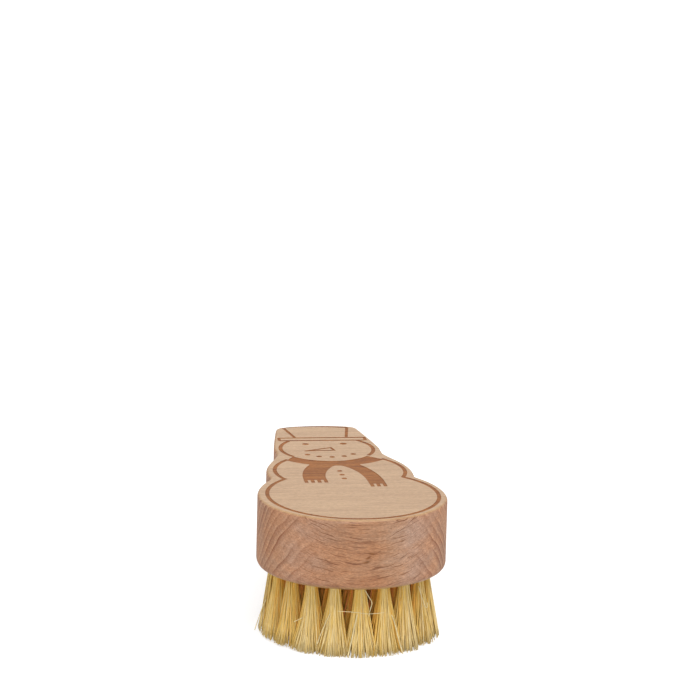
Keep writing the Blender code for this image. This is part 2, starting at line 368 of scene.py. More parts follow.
def wall_tint(tree, grain, place, end_grain):
    """Tint of the milled wall, which is mottled by the cutter and the steaming.

    It has warmer and cooler patches of about 10 mm, and grains of about 0.7 mm, of which the
    dark ones are a little warmer. The round-over along the foot is painted darker, as painted
    shade.
    """
    patches = pattern(tree, grain, (12, 9, 6), 1.0)
    patches = node(tree, "ShaderNodeMapRange", {0: patches[0], 1: 0.35, 2: 0.65})
    patches = node(tree, "ShaderNodeMix", {
        "Factor": patches.outputs[0], 4: WARM_PATCH, 5: COOL_PATCH}, data_type="VECTOR")
    grains = pattern(tree, grain, (1.1, 0.7, 0.5), 2.0, 0.6)
    grains = node(tree, "ShaderNodeMapRange", {0: grains[0], 1: 0.3, 2: 0.7})
    grains = node(tree, "ShaderNodeMix", {
        "Factor": grains.outputs[0], 4: DARK_GRAIN, 5: PALE_GRAIN}, data_type="VECTOR")
    wall_factor = node(tree, "ShaderNodeVectorMath", {
        0: patches.outputs[1], 1: grains.outputs[1]}, operation="MULTIPLY").outputs[0]
    # The end grain is greyer and paler than the milled wall along the grain
    ends = node(tree, "ShaderNodeMapRange", {0: end_grain, 1: 0.3, 2: 0.72})
    wall_factor = tinted(tree, wall_factor, ends.outputs[0], END_TINT)
    # Between the front and the ends it is a little pinker
    rising = node(tree, "ShaderNodeMapRange", {0: end_grain, 1: 0.2, 2: 0.5})
    fading = node(tree, "ShaderNodeMapRange", {
        0: end_grain, 1: 0.65, 2: 0.95, 3: 1.0, 4: 0.0})
    between = node(tree, "ShaderNodeMath", {
        0: rising.outputs[0], 1: fading.outputs[0]}, operation="MULTIPLY")
    wall_factor = tinted(tree, wall_factor, between.outputs[0], PINK_TINT)
    # The round-over along the foot is painted darker: painted shade next to the tufts
    level = node(tree, "ShaderNodeSeparateXYZ", {0: place}).outputs["Z"]
    foot = node(tree, "ShaderNodeMapRange", {
        0: level, 1: UNDERSIDE + 4 * MM, 2: UNDERSIDE + 1.5 * MM})
    wall_factor = tinted(tree, wall_factor, foot.outputs[0], FOOT_SHADE_TINT)
    # A paler, greyer area on the front right
    pale_area = lens(tree, grain, *PALE_AREA, 1.0)
    return tinted(tree, wall_factor, pale_area, PALE_GREY_TINT)


def beech(name, pale, others, roughness, evenness_and_top_light, layer_spacing):
    """Steamed beech, sanded and lightly oiled, with its grain along X.

    The growth layers are planes across the radial direction, and the rays are thin sheets
    along it, which show as short dark dashes on the faces along the grain. Beside the pale
    colour of its early wood, it has those of its streaks, late bands and rays. Evenness is
    the share of its mottled colouring that a flat face has lost, and how far such a face
    takes the painted light from above.
    """
    streak_colour, late_colour, ray_colour = (linear(colour) for colour in others)
    material, tree, out = new_material(name)
    coordinates = node(tree, "ShaderNodeTexCoord").outputs
    place = coordinates["Object"]
    # Grain frame in mm: x along the grain, y radial (through the layers), z tangential
    grain = node(tree, "ShaderNodeMapping", {
        "Vector": place, "Rotation": (-RADIAL_TILT, 0, 0), "Scale": (1000, 1000, 1000),
    }).outputs[0]

    # The layers waver by about half a millimetre over 15 to 40 mm
    waver = pattern(tree, grain, (38, 15, 15), 2.0)
    shift = node(tree, "ShaderNodeVectorMath", {
        0: waver["Color"], 1: (0.5, 0.5, 0.5)}, operation="SUBTRACT")
    shift = node(tree, "ShaderNodeVectorMath", {
        0: shift.outputs[0], 1: WAVER}, operation="MULTIPLY")
    wavy = node(tree, "ShaderNodeVectorMath", {
        0: grain, 1: shift.outputs[0]}, operation="ADD").outputs[0]

    # The end grain faces X, and the flat faces look up or down
    facing = node(tree, "ShaderNodeSeparateXYZ", {0: coordinates["Normal"]}).outputs
    end_grain = node(tree, "ShaderNodeMath", {0: facing["X"]}, operation="ABSOLUTE").outputs[0]
    level_face_and_top_light = node(tree, "ShaderNodeMath", {0: facing["Z"]}, operation="ABSOLUTE")
    level_face_and_top_light = node(tree, "ShaderNodeMapRange", {
        0: level_face_and_top_light.outputs[0], 1: 0.5, 2: 0.85, 3: 0.0, 4: evenness_and_top_light}).outputs[0]

    # Streaks along the grain, about 1 mm wide and 30 mm long
    streaks = pattern(tree, wavy, (30, 1.2, 1.0), 3.0, 0.6)
    streak_share = node(tree, "ShaderNodeMapRange", {
        0: streaks[0], 1: 0.37, 2: 0.63, 3: 0.0, 4: 1.0})
    colour = node(tree, "ShaderNodeMix", {
        "Factor": streak_share.outputs[0], 6: pale, 7: streak_colour}, data_type="RGBA")
    colour = node(tree, "ShaderNodeMix", {
        "Factor": late_bands(tree, grain, wavy, end_grain, layer_spacing),
        6: colour.outputs[2], 7: late_colour}, data_type="RGBA")

    # The edges of the rays waver by about 0.2 mm over 4 mm
    ripple = pattern(tree, grain, (4, 4, 4), 1.0)
    ripple = node(tree, "ShaderNodeMath", {0: ripple[0], 1: 0.5}, operation="SUBTRACT")
    ripple = node(tree, "ShaderNodeCombineXYZ", {2: ripple.outputs[0]})
    rippled = node(tree, "ShaderNodeVectorMath", {
        0: grain, 1: ripple.outputs[0]}, operation="ADD").outputs[0]
    ray_share = ray_dashes(tree, rippled, end_grain, level_face_and_top_light)
    colour = node(tree, "ShaderNodeMix", {
        "Factor": ray_share, 6: colour.outputs[2], 7: ray_colour}, data_type="RGBA")
    fleck_share = largest(tree, [
        lens(tree, rippled, middle, slope, (half_length, FLECK_HEIGHT, FLECK_THICKNESS),
             FLECK_STRENGTH)
        for middle, slope, half_length in FLECKS])
    colour = node(tree, "ShaderNodeMix", {
        "Factor": fleck_share, 6: colour.outputs[2], 7: linear(FLECK_COLOUR)},
        data_type="RGBA")

    # Faces that look up or down lose the wall's mottled colouring and are painted paler and
    # yellower: painted light from above, which also falls on the rounded rim
    tint = node(tree, "ShaderNodeMix", {
        "Factor": level_face_and_top_light, 4: wall_tint(tree, grain, place, end_grain), 5: TOP_LIGHT_TINT},
        data_type="VECTOR")
    colour = node(tree, "ShaderNodeVectorMath", {
        0: colour.outputs[2], 1: tint.outputs[1]}, operation="MULTIPLY")

    # Vessels: pores 0.3 mm across the grain (drawn coarser than the real 0.1 mm, to show)
    pores = pattern(tree, grain, (1.4, 0.3125, 0.3125), 2.0, 0.7)[0]
    speckle = node(tree, "ShaderNodeMapRange", {0: pores, 1: 0.3, 2: 0.7, 3: 0.8, 4: 1.18})
    colour = node(tree, "ShaderNodeVectorMath", {
        0: colour.outputs[0], 1: speckle.outputs[0]}, operation="MULTIPLY")
    height = node(tree, "ShaderNodeMath", {
        0: ray_share, 1: -RAY_GROOVE, 2: pores}, operation="MULTIPLY_ADD")
    bump = node(tree, "ShaderNodeBump", {
        "Height": height.outputs[0], "Strength": 0.25, "Distance": 0.05 * MM})
    # Open end grain soaks up the oil and is duller than the faces along the grain
    gloss = node(tree, "ShaderNodeMapRange", {
        0: pores, 1: 0.3, 2: 0.7, 3: roughness + GLOSS_SPREAD,
        4: roughness - GLOSS_SPREAD})
    dull = node(tree, "ShaderNodeMapRange", {
        0: end_grain, 1: 0.2, 2: 0.9, 3: 0.0, 4: END_DULLNESS})
    rough = node(tree, "ShaderNodeMath", {
        0: gloss.outputs[0], 1: dull.outputs[0]}, operation="ADD")
    shader = node(tree, "ShaderNodeBsdfPrincipled", {
        "Base Color": colour.outputs[0], "Roughness": rough.outputs[0], "IOR": 1.5,
        "Normal": bump.outputs[0]})
    tree.links.new(shader.outputs[0], out.inputs["Surface"])
    return material


# The attribute that holds each fibre's tint
TINT_LAYER = "fibre_tint"


def plant_fibre(middle_colour):
    """Bleached agave or rice-root fibre: a straw-yellow, slightly shiny hard fibre.

    Each fibre has a tint of its own, kept in an attribute, and faint streaks along it. The
    tint carries painted shade towards the root and on the inner side of the tuft.
    """
    material, tree, out = new_material("plant_fibre_straw")
    tint = node(tree, "ShaderNodeAttribute", attribute_name=TINT_LAYER).outputs["Fac"]
    # The browner low tints mostly come from the painted shade at the roots and inside the tufts
    colour = node(tree, "ShaderNodeValToRGB", {0: tint}, stops=(
        (0.0, linear("#f79c4e")), (1.0, linear("#e8d7a8")), (0.2, linear("#e8a433")),
        (0.5, middle_colour)))
    place = node(tree, "ShaderNodeTexCoord").outputs["Object"]
    # Streaks about 0.1 mm wide and 4 mm long
    streaks = pattern(tree, place, (MM / 9, MM / 9, 4 * MM), 2.0)[0]
    shade = node(tree, "ShaderNodeMapRange", {0: streaks, 1: 0.3, 2: 0.7, 3: 0.9, 4: 1.08})
    colour = node(tree, "ShaderNodeVectorMath", {
        0: colour.outputs[0], 1: shade.outputs[0]}, operation="MULTIPLY")
    bump = node(tree, "ShaderNodeBump", {
        "Height": streaks, "Strength": 0.3, "Distance": 0.03 * MM})
    rough = node(tree, "ShaderNodeMapRange", {0: streaks, 1: 0.3, 2: 0.7, 3: 0.5, 4: 0.38})
    shader = node(tree, "ShaderNodeBsdfPrincipled", {
        "Base Color": colour.outputs[0], "Roughness": rough.outputs[0], "IOR": 1.5,
        "Normal": bump.outputs[0]})
    tree.links.new(shader.outputs[0], out.inputs["Surface"])
    return material


def galvanised_wire():
    """Flat wire of galvanised steel: dull grey zinc with a faint spangle."""
    material, tree, out = new_material("galvanised_steel_wire")
    place = node(tree, "ShaderNodeTexCoord").outputs["Object"]
    # Zinc spangle of about 1 mm
    spangle = node(tree, "ShaderNodeTexVoronoi", {"Vector": place, "Scale": 1000.0})
    chance = node(tree, "ShaderNodeSeparateColor", {0: spangle.outputs["Color"]})
    rough = node(tree, "ShaderNodeMapRange", {0: chance.outputs[0], 3: 0.34, 4: 0.5})
    shader = node(tree, "ShaderNodeBsdfPrincipled", {
        "Base Color": linear("#b4b6b8"), "Metallic": 1.0, "Roughness": rough.outputs[0]})
    tree.links.new(shader.outputs[0], out.inputs["Surface"])
    return material


# How much brighter the camera sees the floor
FLOOR_LIFT = 0.62


def floor_finish():
    """Matt white paper sweep. The camera sees it a little lifted, so it reads as white."""
    material, tree, out = new_material("matt_white_paper")
    place = node(tree, "ShaderNodeTexCoord").outputs["Object"]
    # Tooth of the paper, about 1 mm
    tooth = node(tree, "ShaderNodeTexNoise", {"Vector": place, "Scale": 900.0, "Detail": 2.0})
    bump = node(tree, "ShaderNodeBump", {
        "Height": tooth.outputs[0], "Strength": 0.05, "Distance": 0.05 * MM})
    paper = node(tree, "ShaderNodeBsdfPrincipled", {
        "Base Color": linear("#c9c9c9"), "Roughness": 0.9, "Specular IOR Level": 0.1,
        "Normal": bump.outputs[0]})
    lift = node(tree, "ShaderNodeMath", {
        0: seen_share(tree), 1: FLOOR_LIFT}, operation="MULTIPLY")
    glow = node(tree, "ShaderNodeEmission", {"Color": grey(1.0), "Strength": lift.outputs[0]})
    both = node(tree, "ShaderNodeAddShader", {0: paper.outputs[0], 1: glow.outputs[0]})
    tree.links.new(both.outputs[0], out.inputs["Surface"])
    return material


def oval_half_width(y, middle_y, half_depth, half_width):
    """Half width at y of an oval, or minus its half width beyond its ends."""
    share = 1 - ((y - middle_y) / half_depth) ** 2
    return half_width * math.sqrt(share) if share > 0 else -half_width


def hat_half_width(y):
    """Half width at y of the head and hat, which taper towards a rounded crown."""
    from_top = BACK_Y - y
    taper = max(0, 1 - from_top / HAT_TAPER_LENGTH) ** TAPER_EASE
    width = HEAD_HALF_WIDTH - (HEAD_HALF_WIDTH - HAT_TOP_HALF_WIDTH) * taper
    crown = max(0, 1 - from_top / HAT_CROWN_DEPTH) ** CROWN_SQUARENESS
    return width * math.sqrt(1 - crown)


def blended(wide, narrow, blend):
    """The larger of two half widths, with the hollow corner between them filled out."""
    larger = max(wide, narrow)
    if min(wide, narrow) <= 0:
        return larger
    overlap = max(0, 1 - abs(wide - narrow) / blend)
    return larger + blend * overlap ** 2 / 4


def block_half_width(y):
    """Half width of the whole outline at y."""
    belly_depth = BELLY_FRONT_DEPTH if y < BELLY_Y else BELLY_BACK_DEPTH
    belly = oval_half_width(y, BELLY_Y, belly_depth, BELLY_HALF_WIDTH)
    chest = oval_half_width(y, CHEST_Y, CHEST_HALF_DEPTH, CHEST_HALF_WIDTH)
    body = blended(belly, chest, WAIST_BLEND)
    if y < CHEST_Y:
        return body
    return blended(body, hat_half_width(y), NECK_BLEND)


def mesh_object(name, bm, materials=()):
    """Turns a bmesh into a linked mesh object at the origin."""
    mesh = bpy.data.meshes.new(name)
    bm.to_mesh(mesh)
    bm.free()
    for material in materials:
        mesh.materials.append(material)
    made = bpy.data.objects.new(name, mesh)
    bpy.context.scene.collection.objects.link(made)
    return made


def apply_modifiers(made):
    """Bakes the object's modifiers into its mesh."""
    graph = bpy.context.evaluated_depsgraph_get()
    finished = bpy.data.meshes.new_from_object(made.evaluated_get(graph))
    finished.name = made.name
    made.modifiers.clear()
    old, made.data = made.data, finished
    bpy.data.meshes.remove(old)


def hole_places():
    """(node name, centre of its hole) for every tuft, anticlockwise from the front."""
    middle = Vector((0, FIELD_Y, 0))
    places = [("tuft_centre", middle)]
    for ring, name in enumerate(RING_NAMES):
        radius = OUTER_RING_RADIUS * (len(RING_NAMES) - ring) / len(RING_NAMES)
        count = round(2 * math.pi * radius / HOLE_PITCH)
        for i in range(count):
            angle = 2 * math.pi * i / count - math.pi / 2
            step = Vector((math.cos(angle), math.sin(angle), 0)) * radius
            places.append((f"tuft_{name}_{i + 1:02d}", middle + step))
    return places


# Segments of rounded rims and corners, dots, holes and bends, and the degrees in an arc's step
RIM_SEGMENTS = 6
CORNER_SEGMENTS = 5
DOT_SIDES = 28
HOLE_SIDES = 24
BEND_STEPS = 12
ARC_STEP = 2.5
# Edges that turn more than this stay sharp
SHARP_ANGLE = math.radians(35)
# Edges this close to a level belong to its rim
LEVEL_TOLERANCE = 0.01 * MM


def raise_up(bm, faces, height):
    """Extrudes flat faces upwards into closed prisms, and gives the raised faces."""
    raised = bmesh.ops.extrude_face_region(bm, geom=faces)["geom"]
    bmesh.ops.translate(bm, vec=(0, 0, height),
                        verts=[v for v in raised if isinstance(v, bmesh.types.BMVert)])
    return [f for f in raised if isinstance(f, bmesh.types.BMFace)]


def rounded(bm, geom, radius, segments, affect="EDGES"):
    """Rounds edges or corners with a bevel."""
    return bmesh.ops.bevel(bm, geom=geom, offset=radius, offset_type="OFFSET",
                           segments=segments, profile=0.5, affect=affect, material=-1)


def solid_block(edge_radius, foot_radius):
    """The plain block: its outline raised to its height, with both rims rounded."""
    bm = bmesh.new()
    length = BACK_Y - FRONT_Y
    stations = [FRONT_Y + length * (1 - math.cos(math.pi * step / OUTLINE_STEPS)) / 2
                for step in range(1, OUTLINE_STEPS)]
    right = [(block_half_width(y), y) for y in stations]
    left = [(-x, y) for x, y in reversed(right)]
    outline = [(0, FRONT_Y), *right, (0, BACK_Y), *left]
    base = bm.faces.new([bm.verts.new((x, y, UNDERSIDE)) for x, y in outline])
    raise_up(bm, [base], TOP - UNDERSIDE)
    bmesh.ops.recalc_face_normals(bm, faces=bm.faces)
    for level, radius in ((TOP, edge_radius), (UNDERSIDE, foot_radius)):
        rim = [e for e in bm.edges if all(abs(v.co.z - level) < LEVEL_TOLERANCE for v in e.verts)]
        rounded(bm, rim, radius, RIM_SEGMENTS)
    return bm


def prism(bm, points, floor, top):
    """A closed prism over a plan of (x, y) points in millimetres."""
    face = bm.faces.new([bm.verts.new((x * MM, y * MM, floor)) for x, y in points])
    raise_up(bm, [face], top - floor)


def offset_plan(points, distance):
    """The corners of a plan, anticlockwise and in millimetres, moved outwards by a distance."""
    corners = [Vector(p) * MM for p in points]
    moved = []
    for i, corner in enumerate(corners):
        before = (corner - corners[i - 1]).normalized()
        after = (corners[(i + 1) % len(corners)] - corner).normalized()
        sides = (Vector((before.y, -before.x)), Vector((after.y, -after.x)))
        moved.append(corner + (sides[0] + sides[1]) * distance / (1 + sides[0].dot(sides[1])))
    return moved


def outlined(bm, points, corner, line, floor, top, cut=0.0):
    """A closed line of even width along a plan, with its outer corners rounded, as a prism.

    Where the plan's first corner is a sharp tip, the cut takes that much off it.
    """
    outer = bm.faces.new([bm.verts.new((x, y, floor)) for x, y in offset_plan(points, line / 2)])
    if cut:
        blunt = rounded(bm, [outer.verts[0]], cut, 1, "VERTICES")
        outer = blunt["verts"][0].link_faces[0]
    corners = rounded(bm, list(outer.verts), corner, CORNER_SEGMENTS, "VERTICES")
    outer = corners["verts"][0].link_faces[0]
    inner = bm.faces.new([bm.verts.new((x, y, floor)) for x, y in offset_plan(points, -line / 2)])
    rims = [*outer.edges, *inner.edges]
    bmesh.ops.delete(bm, geom=[outer, inner], context="FACES_ONLY")
    ring = bmesh.ops.bridge_loops(bm, edges=rims)["faces"]
    raise_up(bm, ring, top - floor)


def arc(bm, centre, radii, start, end, line, floor, top):
    """A stroke of even width along an arc of a circle or an oval, between angles in degrees."""
    middle = Vector((centre[0] * MM, centre[1] * MM, 0))
    reach = radii[0] * MM
    corners = ((reach - line / 2, floor), (reach + line / 2, floor),
               (reach + line / 2, top), (reach - line / 2, top))
    verts = [bm.verts.new((x, 0, z)) for x, z in corners]
    face = bm.faces.new(verts)
    turn = Matrix.Rotation(math.radians(start), 3, "Z")
    bmesh.ops.rotate(bm, verts=verts, cent=(0, 0, 0), matrix=turn)
    before = set(bm.verts) - set(verts)
    bmesh.ops.spin(bm, geom=[face, *face.edges, *verts], cent=(0, 0, 0), axis=(0, 0, 1),
                   angle=math.radians(end - start), steps=round((end - start) / ARC_STEP),
                   use_duplicate=False)
    new = [v for v in bm.verts if v not in before]
    bmesh.ops.scale(bm, vec=(1, radii[1] / radii[0], 1), verts=new)
    bmesh.ops.translate(bm, vec=middle, verts=new)


def stroke(bm, points, line, floor, top):
    """A stroke of even width along a few (x, y) points in millimetres."""
    spots = [Vector(p) for p in points]
    sides = []
    for i, spot in enumerate(spots):
        along = (spots[min(i + 1, len(spots) - 1)] - spots[max(i - 1, 0)]).normalized()
        across = Vector((-along.y, along.x)) * (line / MM / 2)
        sides.append((spot + across, spot - across))
    prism(bm, [s[0] for s in sides] + [s[1] for s in reversed(sides)], floor, top)


def disc(bm, centre, radius, floor, top):
    """A round dot at (x, y) with its radius, in millimetres."""
    place = Matrix.Translation((centre[0] * MM, centre[1] * MM, (top + floor) / 2))
    bmesh.ops.create_cone(bm, cap_ends=True, segments=DOT_SIDES, radius1=radius * MM,
                          radius2=radius * MM, depth=top - floor, matrix=place)


def smooth_line(start, middle, end):
    """Points along a smooth bend from start to end that passes through middle."""
    start, middle, end = Vector(start), Vector(middle), Vector(end)
    pull = middle * 2 - (start + end) / 2
    return [start * (1 - t) ** 2 + pull * 2 * t * (1 - t) + end * t ** 2
            for t in (i / BEND_STEPS for i in range(BEND_STEPS + 1))]


# The drawing on the top, in millimetres and degrees. It sits a little askew on the block.
DRAWING_TURN = math.radians(-0.2)
DRAWING_SHIFT = Vector((0.1, -0.65, 0)) * MM
HEAD_CENTRE, HEAD_RADIUS = (-0.4, 30.5), 16.55
CHEST_CENTRE, CHEST_RADIUS = (0.1, 0.9), 22.8
# The line round the body: the centre and radius of each arc, and the angles of its ends
BODY_ARCS = (
    (HEAD_CENTRE, HEAD_RADIUS, -36, 42),
    (HEAD_CENTRE, HEAD_RADIUS, 138, 217),
    (CHEST_CENTRE, CHEST_RADIUS, -25, 42),
    (CHEST_CENTRE, CHEST_RADIUS, 136, 205),
)
BELLY_ARC = ((0.3, -29.7), (29.4, 29.9), 133.5, 405.5)
# The dots: the places and the radius of the eyes, the mouth and the buttons
DOTS = (
    (((-7.2, 37.25), (6.45, 37.1)), 1.2),
    (((-8.35, 22.95), (-4.6, 20.3), (-0.05, 19.4), (4.4, 20.2), (8.0, 22.9)), 1.0),
    (((0.0, 0.75), (0.1, -4.15), (0.2, -9.0)), 0.95),
)
NOSE = ((-8.2, 27.97), (1.9, 28.35), (1.1, 32.0))
NOSE_CORNER, NOSE_CUT = 0.3 * MM, 1.9 * MM
BRIM = ((-15.85, 42.35), (15.1, 41.8), (15.15, 45.45), (-15.8, 46.0))
BRIM_CORNER = 0.9 * MM
HAT_LEFT = ((-12.4, 60.6), (-9.9, 46.5))
HAT_RIGHT = ((10.9, 59.6), (8.8, 46.2))
CROWN_MIDDLE = (-0.8, 61.7)
# The crown's line runs onto the rounded edge, so it is cut that much deeper
CROWN_EXTRA_DEPTH = 0.2 * MM
# Fringes of both tails: their first and last edge, their count and their two ends
FRINGES = ((-14.2, -6.0, 4, -13.9, -10.0), (8.0, 13.75, 3, -19.9, -15.8))
FRINGE_WIDTH = 1.3


def scarf_plan():
    """Outline of the scarf round the neck with its two tails, without the fringes."""
    def on_head(angle):
        a = math.radians(angle)
        return (HEAD_CENTRE[0] + HEAD_RADIUS * math.cos(a),
                HEAD_CENTRE[1] + HEAD_RADIUS * math.sin(a))
    outline = [
        # The band's upper edge, along the head from left to right
        *(on_head(angle) for angle in range(216, 326, 5)),
        # Its lower edge on the right, and the right tail
        *smooth_line((17.65, 15.0), (13.3, 11.5), (8.5, 9.1)),
        *smooth_line((8.2, 8.8), (12.45, -3.0), (13.7, -16.4)),
        *smooth_line((7.9, -16.3), (6.5, -2.2), (2.0, 7.3)),
        # The knot
        (1.2, 7.75), (0.3, 7.85), (-0.6, 7.75),
        # The left tail, and the band's lower edge on the left
        *smooth_line((-1.5, 7.2), (-5.1, -1.2), (-6.1, -10.5)),
        *smooth_line((-14.1, -10.4), (-13.0, 0.4), (-9.5, 9.4)),
        *smooth_line((-9.7, 10.0), (-13.3, 12.3), (-16.7, 15.65)),
    ]
    return [Vector(p) for p in outline]


def engraving(settings, name):
    """The cutter for one group of strokes that don't touch each other."""
    bm = bmesh.new()
    floor, top = TOP - settings.engraving_depth, TOP + OVERRUN
    body_line, hat_line, nose_line = settings.body_line, settings.hat_line, settings.nose_line
    if name == "dots":
        for places, radius in DOTS:
            for place in places:
                disc(bm, place, radius, floor, top)
        outlined(bm, NOSE, NOSE_CORNER, nose_line, floor, top, NOSE_CUT)
    elif name == "body":
        for centre, radius, start, end in BODY_ARCS:
            arc(bm, centre, (radius, radius), start, end, body_line, floor, top)
    elif name == "belly":
        arc(bm, *BELLY_ARC, body_line, floor, top)
    elif name == "brim":
        outlined(bm, BRIM, BRIM_CORNER, hat_line, floor, top)
    elif name == "hat":
        stroke(bm, HAT_LEFT, hat_line, floor, top)
        stroke(bm, HAT_RIGHT, hat_line, floor, top)
    elif name == "crown":
        stroke(bm, smooth_line(HAT_LEFT[0], CROWN_MIDDLE, HAT_RIGHT[0]), hat_line,
               floor - CROWN_EXTRA_DEPTH, top)
    elif name == "scarf":
        prism(bm, scarf_plan(), floor, top)
    elif name == "fringes":
        for first, last, count, foot, head in FRINGES:
            for i in range(count):
                left = first + (last - first - FRINGE_WIDTH) * i / (count - 1)
                right = left + FRINGE_WIDTH
                prism(bm, [(left, foot), (right, foot), (right, head), (left, head)], floor, top)
    turn = Matrix.Rotation(DRAWING_TURN, 3, "Z")
    bmesh.ops.rotate(bm, cent=(0, 0, 0), matrix=turn, verts=bm.verts)
    bmesh.ops.translate(bm, vec=DRAWING_SHIFT, verts=bm.verts)
    bmesh.ops.recalc_face_normals(bm, faces=bm.faces)
    return bm


def drilling():
    """The cutter for the drilled holes, with their drill points."""
    bm = bmesh.new()
    depth = HOLE_DEPTH + OVERRUN
    for _, centre in hole_places():
        place = Matrix.Translation((centre.x, centre.y, UNDERSIDE - OVERRUN + depth / 2))
        made = bmesh.ops.create_cone(bm, cap_ends=True, segments=HOLE_SIDES, depth=depth,
                                     radius1=HOLE_RADIUS, radius2=HOLE_RADIUS, matrix=place)
        faces = {f for v in made["verts"] for f in v.link_faces}
        end = max(faces, key=lambda f: f.calc_center_median().z)
        bmesh.ops.poke(bm, faces=[end], offset=DRILL_POINT)
    bmesh.ops.recalc_face_normals(bm, faces=bm.faces)
    return bm


class DISHBRUSH_OT_block(bpy.types.Operator):
    """Make the beech block, drill it and engrave its top"""

    bl_idname = "dishbrush.make_block"
    bl_label = "Beech block"

    def execute(self, context):
        settings = context.scene.dishbrush_block
        spacing = settings.layer_spacing
        bare = beech("oiled_beech", settings.wood_colour, ("#a97955", "#7a4424", "#6f3a10"),
                     roughness=0.34, evenness_and_top_light=1.0, layer_spacing=spacing)
        burnt = beech("burnt_beech", settings.burnt_colour, ("#884e24", "#74431f", "#5c3119"),
                      roughness=0.75, evenness_and_top_light=0.4, layer_spacing=spacing)
        plain = solid_block(settings.edge_radius, settings.foot_radius)
        block = mesh_object("beech_block", plain, (bare, burnt))
        groups = ("dots", "body", "belly", "brim", "hat", "crown", "scarf", "fringes")
        cutters = [(drilling(), 0)] + [(engraving(settings, name), 1) for name in groups]
        for bm, slot in cutters:
            for face in bm.faces:
                face.material_index = slot
            cutter = mesh_object("cutter", bm, (bare, burnt))
            cut = block.modifiers.new("cut", "BOOLEAN")
            cut.operation, cut.solver, cut.object = "DIFFERENCE", "EXACT", cutter
            apply_modifiers(block)
            bpy.data.objects.remove(cutter)
        block.data.polygons.foreach_set("use_smooth", [True] * len(block.data.polygons))
        block.data.set_sharp_from_angle(angle=SHARP_ANGLE)
        weigh = block.modifiers.new("weigh", "WEIGHTED_NORMAL")
        weigh.mode, weigh.weight, weigh.keep_sharp = "FACE_AREA", 100, True
        apply_modifiers(block)
        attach(block, BODY)
        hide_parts(BLOCK_NODE)
        return {"FINISHED"}


# Spans of one folded fibre: four to the mouth of the hole, one to the fold, and back
LEG_SPANS = 4
FOLD_SPANS = 2
FIBRE_SPANS = 2 * (LEG_SPANS + 1) + FOLD_SPANS
FIBRE_SIDES = 4
FIBRE_SIZES = (0.8, 1.15)
END_SIZE = 0.8
ANCHOR_HEIGHT = 1.6 * MM
ANCHOR_THICKNESS = 0.5 * MM
ANCHOR_CORNER = 0.1 * MM
ANCHOR_LEVEL = UNDERSIDE + 9.2 * MM
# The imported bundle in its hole, the room that the anchor takes and the scatter in mm
PACK_RADIUS = 1.75 * MM
ANCHOR_ROOM = 0.2 * MM
PACK_SCATTER = 0.06
# The bundles lean on the inner side of their holes, and on the left one
SEAT_INWARD = 0.4 * MM
SEAT_LEFT = 0.5 * MM

# How the fibres of a tuft differ: its tips wander as one, and each fibre swings round it,
# spreads by its own share and scatters. Lengths are in mm, and the swing in radians.
TUFT_WANDER = 0.25
SWING = 0.35
SPREADS = (0.75, 1.1)
TIP_SCATTER = 0.6
BOW = 0.28
DROOP = 1.3
# Tufts have more room along their ring than across it
RING_STRETCH = 0.18
# The trimmed field of tips, past which few fibres reach, and how far it draws them back
TIP_FIELD_RADIUS = 31.0 * MM
FIELD_PULL = 0.85
# Heights of the tips: nearly all are trimmed to one level, and a few are shorter, more of
# them on the left. A length without MM is in mm.
TIP_LEVEL = 0.05 * MM
TRIM_SCATTER = 0.08
SHORT_BY = (0.3, 1.6)
SHORT_SHARE = 0.04
LEFT_SHORT_SHARE = 0.2
LEFT_SIDE = -14 * MM
# The left end of the field is worn shorter, from a start and over a width in mm
LEFT_WEAR = 0.6
WEAR_START = 17
WEAR_WIDTH = 9

# Tints run from brown at 0 to pale straw at 1. Painted shade: the fibres are painted browner
# towards their roots, the inner rings most. Painted light: the fibres on the outside of the
# brush are painted paler, and those inside are browner.
TUFT_TINT, TUFT_TINT_SCATTER = 0.5, 0.02
FIBRE_TINT_SCATTER = 0.09
LEAST_TINT = 0.2
ROOT_SHADE, INNER_ROOT_SHADE = 0.17, 0.46
OUTSIDE_LIGHT_TINT = 0.3
STRAY_TINT = 0.95

# Loose fibres that the tufts hold: the tuft, a radius in millimetres and points on its way
STRAYS = (
    ("tuft_outer_01", 0.11, (
        (-8.5, -58.6, 16.1), (-2.1, -59.7, 15.8), (1.7, -59.7, 15.2), (7.6, -58.3, 15.1))),
    ("tuft_outer_01", 0.15, (
        (0.9, -57.5, 22.9), (2.1, -58, 20.8), (3.3, -58, 18.7), (2.9, -58, 16.6),
        (2.5, -57.5, 14.3), (2.2, -56.5, 12.6))),
    ("tuft_outer_01", 0.23, ((-1.9, -59.9, 15.2), (-3.8, -61, 6.4), (-5.1, -61.9, 0.7))),
    ("tuft_outer_02", 0.19, (
        (10.1, -58.1, 14.2), (11.2, -58.3, 11.3), (12.7, -58.6, 5.6), (14.2, -59.3, 0.6))),
    ("tuft_outer_19", 0.17, ((-10.9, -57.6, 14.9), (-13.5, -57.6, 8.6), (-15.1, -57.7, 4.1))),
    ("tuft_outer_18", 0.13, ((-22.2, -51, 10.2), (-20.6, -52.4, 11.5), (-19.4, -53.2, 12.4))),
    ("tuft_outer_03", 0.13, (
        (20.6, -49, 21.3), (21.8, -50, 17.4), (22.9, -50, 14.5), (23.6, -50, 14.0),
        (23.9, -49, 15.4))),
    ("tuft_outer_15", 0.15, (
        (-29.6, -35, 13.4), (-31.0, -35, 10.2), (-32.3, -35, 6.1), (-33.4, -35, 2.5))),
)
STRAY_CURVE_POINTS = 20


def straight_fibre():
    """One straight fibre of unit length and radius, with a ring of vertices for every span."""
    bm = bmesh.new()
    bmesh.ops.create_circle(bm, cap_ends=True, segments=FIBRE_SIDES, radius=1.0)
    end = list(bm.faces)
    for _ in range(FIBRE_SPANS):
        end = raise_up(bm, end, 1)
    bmesh.ops.recalc_face_normals(bm, faces=bm.faces)
    mesh = bpy.data.meshes.new("straight_fibre")
    bm.to_mesh(mesh)
    bm.free()
    return mesh


